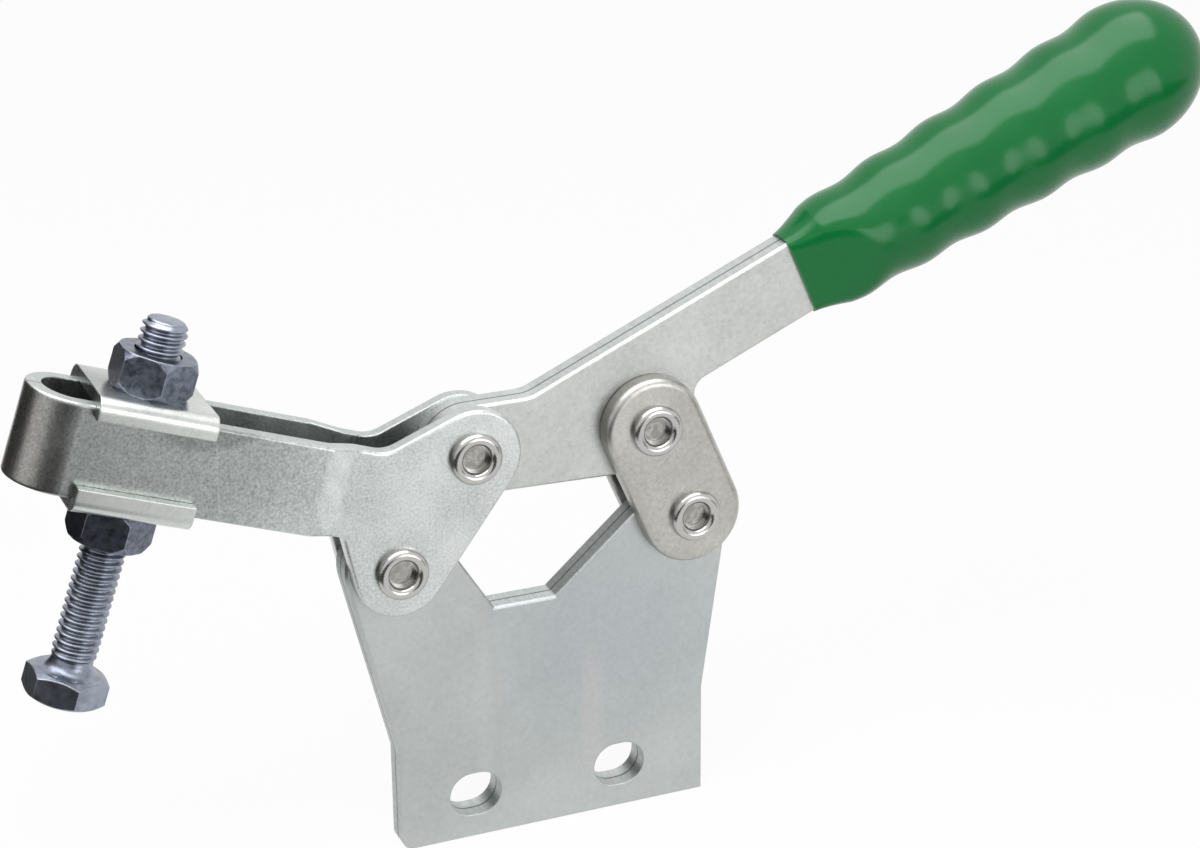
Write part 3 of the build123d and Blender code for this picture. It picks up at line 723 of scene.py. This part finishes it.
# Grip: six swells on a straight taper, a round end, and sides pressed flat over the shank.
gripSizes = {
    "Mouth Radius": 6.0,
    "First Swell": 7.1,
    "First Swell Radius": 7.65,
    "Last Swell Radius": 9.75,
    "Swell Pitch": 9.45,
    "Swell Steps": 5.0,
    "Groove": 0.48,
    "Mouth Depth": 2.7,
    "Flat Length": 10.0,
    "Shank Width": 10.8,
    "Shank Depth": 4.2,
    "Shank Length": 50.0,
}
gripTilt = 23.58            # degrees, slope of the shank
gripRows = 300
gripColumns = 128
straightShare = 0.78        # share of the rows before the round end
mouthFlare = 1.45           # power by which the mouth widens into the first swell
flatBlend = 2.5             # mm, how softly the round runs into the pressed sides
gripSharp = 40.0            # degrees


def gripTree(material):
    tree, size = newTree("waved grip", [*gripSizes, "Length"])
    grid = addNode(tree, "GeometryNodeMeshGrid", inputs={
        "Size X": 1.0, "Size Y": 1.0, "Vertices X": gripRows, "Vertices Y": gripColumns + 1})
    flat = addNode(tree, "ShaderNodeSeparateXYZ", inputs={
        0: addNode(tree, "GeometryNodeInputPosition")})
    row = addNode(tree, "ShaderNodeMath", {"operation": "ADD"}, {0: flat.outputs["X"], 1: 0.5})
    around = addNode(tree, "ShaderNodeMath", {"operation": "ADD"}, {0: flat.outputs["Y"], 1: 0.5})
    firstRow = 1 / (gripRows - 1)
    lastSwell = addNode(tree, "ShaderNodeMath", {"operation": "MULTIPLY_ADD"}, {
        0: size["Swell Pitch"], 1: size["Swell Steps"], 2: size["First Swell"]})
    dome = addNode(tree, "ShaderNodeMath", {"operation": "SUBTRACT"}, {0: size["Length"], 1: lastSwell})
    straight = addNode(tree, "ShaderNodeMapRange", inputs={
        "Value": row, "From Min": firstRow, "From Max": straightShare, "To Max": lastSwell})
    bend = addNode(tree, "ShaderNodeMapRange", inputs={
        "Value": row, "From Min": straightShare, "From Max": 1.0, "To Max": math.pi / 2})
    bendSine = addNode(tree, "ShaderNodeMath", {"operation": "SINE"}, {0: bend})
    bendCosine = addNode(tree, "ShaderNodeMath", {"operation": "COSINE"}, {0: bend})
    station = addNode(tree, "ShaderNodeMath", {"operation": "MULTIPLY_ADD"}, {
        0: bendSine, 1: dome, 2: straight})

    # Swells: a cosine on the straight line halfway between crests and grooves.
    firstMiddle = addNode(tree, "ShaderNodeMath", {"operation": "MULTIPLY_ADD"}, {
        0: size["Groove"], 1: -0.5, 2: size["First Swell Radius"]})
    lastMiddle = addNode(tree, "ShaderNodeMath", {"operation": "MULTIPLY_ADD"}, {
        0: size["Groove"], 1: -0.5, 2: size["Last Swell Radius"]})
    middle = addNode(tree, "ShaderNodeMapRange", {"clamp": False}, {
        "Value": straight, "From Min": size["First Swell"], "From Max": lastSwell,
        "To Min": firstMiddle, "To Max": lastMiddle})
    phase = addNode(tree, "ShaderNodeMath", {"operation": "SUBTRACT"}, {
        0: straight, 1: size["First Swell"]})
    phase = addNode(tree, "ShaderNodeMath", {"operation": "DIVIDE"}, {0: phase, 1: size["Swell Pitch"]})
    phase = addNode(tree, "ShaderNodeMath", {"operation": "MULTIPLY"}, {0: phase, 1: 2 * math.pi})
    wave = addNode(tree, "ShaderNodeMath", {"operation": "COSINE"}, {0: phase})
    wave = addNode(tree, "ShaderNodeMath", {"operation": "MULTIPLY"}, {0: wave, 1: size["Groove"]})
    waved = addNode(tree, "ShaderNodeMath", {"operation": "MULTIPLY_ADD"}, {0: wave, 1: 0.5, 2: middle})

    # Before the first swell the grip widens from its mouth.
    meeting = addNode(tree, "ShaderNodeMath", {"operation": "MULTIPLY_ADD"}, {
        0: size["Swell Pitch"], 1: -0.25, 2: size["First Swell"]})
    widening = addNode(tree, "ShaderNodeMapRange", inputs={"Value": straight, "From Max": meeting})
    widening = addNode(tree, "ShaderNodeMath", {"operation": "POWER"}, {0: widening, 1: mouthFlare})
    gain = addNode(tree, "ShaderNodeMapRange", {"clamp": False}, {
        "Value": meeting, "From Min": size["First Swell"], "From Max": lastSwell,
        "To Min": firstMiddle, "To Max": lastMiddle})
    neck = addNode(tree, "ShaderNodeMapRange", inputs={
        "Value": widening, "To Min": size["Mouth Radius"], "To Max": gain})
    beyond = addNode(tree, "ShaderNodeMath", {"operation": "GREATER_THAN"}, {0: straight, 1: meeting})
    radius = addNode(tree, "ShaderNodeMix", {"data_type": "FLOAT"}, {0: beyond, 2: neck, 3: waved})
    radius = addNode(tree, "ShaderNodeMath", {"operation": "MULTIPLY"}, {0: radius, 1: bendCosine})
    closing = addNode(tree, "ShaderNodeMath", {"operation": "GREATER_THAN"}, {0: row, 1: firstRow / 2})
    radius = addNode(tree, "ShaderNodeMath", {"operation": "MULTIPLY"}, {0: radius, 1: closing})

    # Across the sheet the sides stop at a plane that opens out from the mouth.
    angle = addNode(tree, "ShaderNodeMath", {"operation": "MULTIPLY"}, {0: around, 1: 2 * math.pi})
    width = addNode(tree, "ShaderNodeMath", {"operation": "COSINE"}, {0: angle})
    width = addNode(tree, "ShaderNodeMath", {"operation": "MULTIPLY"}, {0: width, 1: radius})
    depth = addNode(tree, "ShaderNodeMath", {"operation": "SINE"}, {0: angle})
    depth = addNode(tree, "ShaderNodeMath", {"operation": "MULTIPLY"}, {0: depth, 1: radius})
    side = addNode(tree, "ShaderNodeMath", {"operation": "SIGN"}, {0: depth})
    depth = addNode(tree, "ShaderNodeMath", {"operation": "ABSOLUTE"}, {0: depth})
    stop = addNode(tree, "ShaderNodeMapRange", {"clamp": False}, {
        "Value": station, "From Max": size["Flat Length"],
        "To Min": size["Mouth Depth"], "To Max": size["First Swell Radius"]})
    depth = addNode(tree, "ShaderNodeMath", {"operation": "SMOOTH_MIN"}, {
        0: depth, 1: stop, 2: flatBlend})
    depth = addNode(tree, "ShaderNodeMath", {"operation": "MULTIPLY"}, {0: depth, 1: side})
    place = addNode(tree, "ShaderNodeCombineXYZ", inputs={"X": station, "Y": depth, "Z": width})
    skin = addNode(tree, "GeometryNodeSetPosition", inputs={
        "Geometry": grid.outputs["Mesh"], "Position": place})
    skin = addNode(tree, "GeometryNodeMergeByDistance", inputs={
        "Geometry": skin, "Distance": mergeDistance})

    # Pocket for the shank.
    pocketLength = addNode(tree, "ShaderNodeMath", {"operation": "MULTIPLY"}, {
        0: size["Shank Length"], 1: 2.0})
    pocketSize = addNode(tree, "ShaderNodeCombineXYZ", inputs={
        "X": pocketLength, "Y": size["Shank Depth"], "Z": size["Shank Width"]})
    pocket = addNode(tree, "GeometryNodeMeshCube", inputs={"Size": pocketSize})
    hollow = addNode(tree, "GeometryNodeMeshBoolean", {"operation": "DIFFERENCE", "solver": "EXACT"}, {
        "Mesh 1": skin, "Mesh 2": pocket.outputs["Mesh"]})
    real = addNode(tree, "GeometryNodeRealizeInstances", inputs={"Geometry": hollow})
    finished = addNode(tree, "GeometryNodeSetMaterial", inputs={"Geometry": real, "Material": material})
    addNode(tree, "NodeGroupOutput", inputs={"Geometry": finished})
    return tree


def makeGrip():
    slope = math.radians(gripTilt)
    along = Vector((math.cos(slope), 0, math.sin(slope)))
    across = Vector((-math.sin(slope), 0, math.cos(slope)))
    mouth, end = reach("grip", along)
    sizes = {**gripSizes, "Length": (end - mouth) / mm}
    turn = Matrix((along, across.cross(along), across)).transposed().to_4x4()
    place = Matrix.Translation(along * mouth + across * sum(reach("grip", across)) / 2) @ turn
    grip = pieceFromTree("waved_grip", gripTree(gripGreen), sizes, place, gripSharp)
    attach(grip, "handle")
    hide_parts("grip")


makeGrip()
print("stage: grip")


# Pale floor and white surroundings, with softboxes and matt cloths round the part as in a small
# studio. Places and sizes are in metres, power in watts. Only reflections see the cloths: they
# give the metal something darker than the white background to show.
studio = {
    "floorSize": 6.0,
    "floorColor": "F2F2F2",
    "floorWhite": 0.93,
    "worldFill": 0.42,
}
softboxes = [
    {"name": "topSoftbox", "shape": "RECTANGLE", "size": (1.05, 0.70), "place": (-0.08, 0.0, 0.80),
     "target": (-0.08, 0.0, 0.0), "roll": 0, "power": 8.2, "diffuse": False, "glossy": True},
    {"name": "rightSoftbox", "shape": "ELLIPSE", "size": (0.13, 0.25), "place": (0.125, -0.30, 0.082),
     "target": (0.10, 0.0, 0.12), "roll": 35, "power": 0.22, "diffuse": False, "glossy": True},
    {"name": "keyLight", "shape": "RECTANGLE", "size": (0.6, 0.6), "place": (-0.24, -0.32, 0.70),
     "target": (0.0, 0.0, 0.045), "roll": 0, "power": 5.0, "diffuse": True, "glossy": False},
]
cloths = [
    {"name": "floorCloth", "color": "424242", "corners": [
        (-0.09, 0.06, -0.006), (-0.13, 0.25, -0.006), (-0.16, 0.70, -0.006), (-0.55, 0.70, -0.006),
        (-0.62, -0.45, -0.006), (0.01, -0.45, -0.006), (-0.052, -0.05, -0.006),
        (-0.09, -0.03, -0.006)]},
    {"name": "frontCloth", "color": "3A3A3A", "corners": [
        (-0.60, -0.45, -0.006), (0.01, -0.45, -0.006), (0.01, -0.45, 0.15), (-0.60, -0.45, 0.15)]},
    {"name": "leftCloth", "color": "E6E6E6", "corners": [
        (-0.60, 0.06, -0.006), (-0.62, -0.44, -0.006), (-0.62, -0.44, 0.75), (-0.60, 0.06, 0.75)]},
    {"name": "backCloth", "color": "3A3A3A", "corners": [
        (-0.20, 0.70, -0.006), (-0.52, 0.06, -0.006), (-0.52, 0.06, 0.50), (-0.20, 0.70, 0.60)]},
    {"name": "rightFloorCloth", "color": "3C3C3C", "corners": [
        (0.11, -0.14, -0.006), (0.11, -0.60, -0.006), (0.60, -0.60, -0.006), (0.60, -0.14, -0.006)]},
]


def makeSoftbox(setup):
    data = bpy.data.lights.new(setup["name"], "AREA")
    data.shape = setup["shape"]
    data.size, data.size_y = setup["size"]
    data.energy = setup["power"]
    lamp = bpy.data.objects.new(setup["name"], data)
    lamp.visible_diffuse = setup["diffuse"]
    lamp.visible_glossy = setup["glossy"]
    place = Vector(setup["place"])
    look = (Vector(setup["target"]) - place).to_track_quat("-Z", "Y")
    roll = Matrix.Rotation(math.radians(setup["roll"]), 4, "Z")
    lamp.matrix_world = Matrix.Translation(place) @ look.to_matrix().to_4x4() @ roll
    bpy.context.collection.objects.link(lamp)


def makeCloth(setup):
    mesh = bpy.data.meshes.new(setup["name"])
    mesh.from_pydata(setup["corners"], [], [range(len(setup["corners"]))])
    cloth = bpy.data.objects.new(setup["name"], mesh)
    bpy.context.collection.objects.link(cloth)
    cloth.visible_camera = False
    cloth.visible_diffuse = False
    cloth.visible_transmission = False
    cloth.visible_shadow = False
    material, _, shader, _ = newMaterial("studio cloth, " + setup["name"])
    shader.inputs["Base Color"].default_value = hexColor(setup["color"])
    shader.inputs["Roughness"].default_value = 1.0
    shader.inputs["Specular IOR Level"].default_value = 0.0
    mesh.materials.append(material)


# One for a ray that sees the white background: from the camera, by reflection or through the
# part. Other rays, which light the part, get zero.
def seesWhite(tree):
    path = addNode(tree, "ShaderNodeLightPath").outputs
    seen = addNode(tree, "ShaderNodeMath", {"operation": "MAXIMUM"}, {
        0: path["Is Camera Ray"], 1: path["Is Glossy Ray"]})
    return addNode(tree, "ShaderNodeMath", {"operation": "MAXIMUM"}, {
        0: seen, 1: path["Is Transmission Ray"]})


def makeFloor(setup):
    lowest = cadBox[0][2]
    half = setup["floorSize"] / 2
    mesh = bpy.data.meshes.new("floor")
    corners = [(x * half, y * half, lowest) for x, y in ((-1, -1), (1, -1), (1, 1), (-1, 1))]
    mesh.from_pydata(corners, [], [(0, 1, 2, 3)])
    floor = bpy.data.objects.new("floor", mesh)
    bpy.context.collection.objects.link(floor)
    material, tree, shader, _ = newMaterial("pale studio paper")
    shader.inputs["Base Color"].default_value = hexColor(setup["floorColor"])
    shader.inputs["Roughness"].default_value = 0.9
    shader.inputs["Specular IOR Level"].default_value = 0.1
    glow = addNode(tree, "ShaderNodeEmission", inputs={"Color": (1, 1, 1, 1), "Strength": 1.0})
    share = addNode(tree, "ShaderNodeMath", {"operation": "MULTIPLY"}, {
        0: seesWhite(tree), 1: setup["floorWhite"]})
    mix = addNode(tree, "ShaderNodeMixShader", inputs={"Fac": share, 1: shader, 2: glow})
    output = next(node for node in tree.nodes if node.type == "OUTPUT_MATERIAL")
    tree.links.new(mix.outputs[0], output.inputs["Surface"])
    mesh.materials.append(material)


def makeWorld(setup):
    world = bpy.data.worlds.new("studio")
    bpy.context.scene.world = world
    world.use_nodes = True
    tree = world.node_tree
    tree.nodes.clear()
    strength = addNode(tree, "ShaderNodeMapRange", inputs={
        "Value": seesWhite(tree), "To Min": setup["worldFill"], "To Max": 1.0})
    back = addNode(tree, "ShaderNodeBackground", inputs={"Color": (1, 1, 1, 1), "Strength": strength})
    addNode(tree, "ShaderNodeOutputWorld", inputs={"Surface": back})


makeFloor(studio)
makeWorld(studio)
for setup in softboxes:
    makeSoftbox(setup)
for setup in cloths:
    makeCloth(setup)

bpy.context.scene.view_settings.view_transform = "Standard"
print("stage: studio")
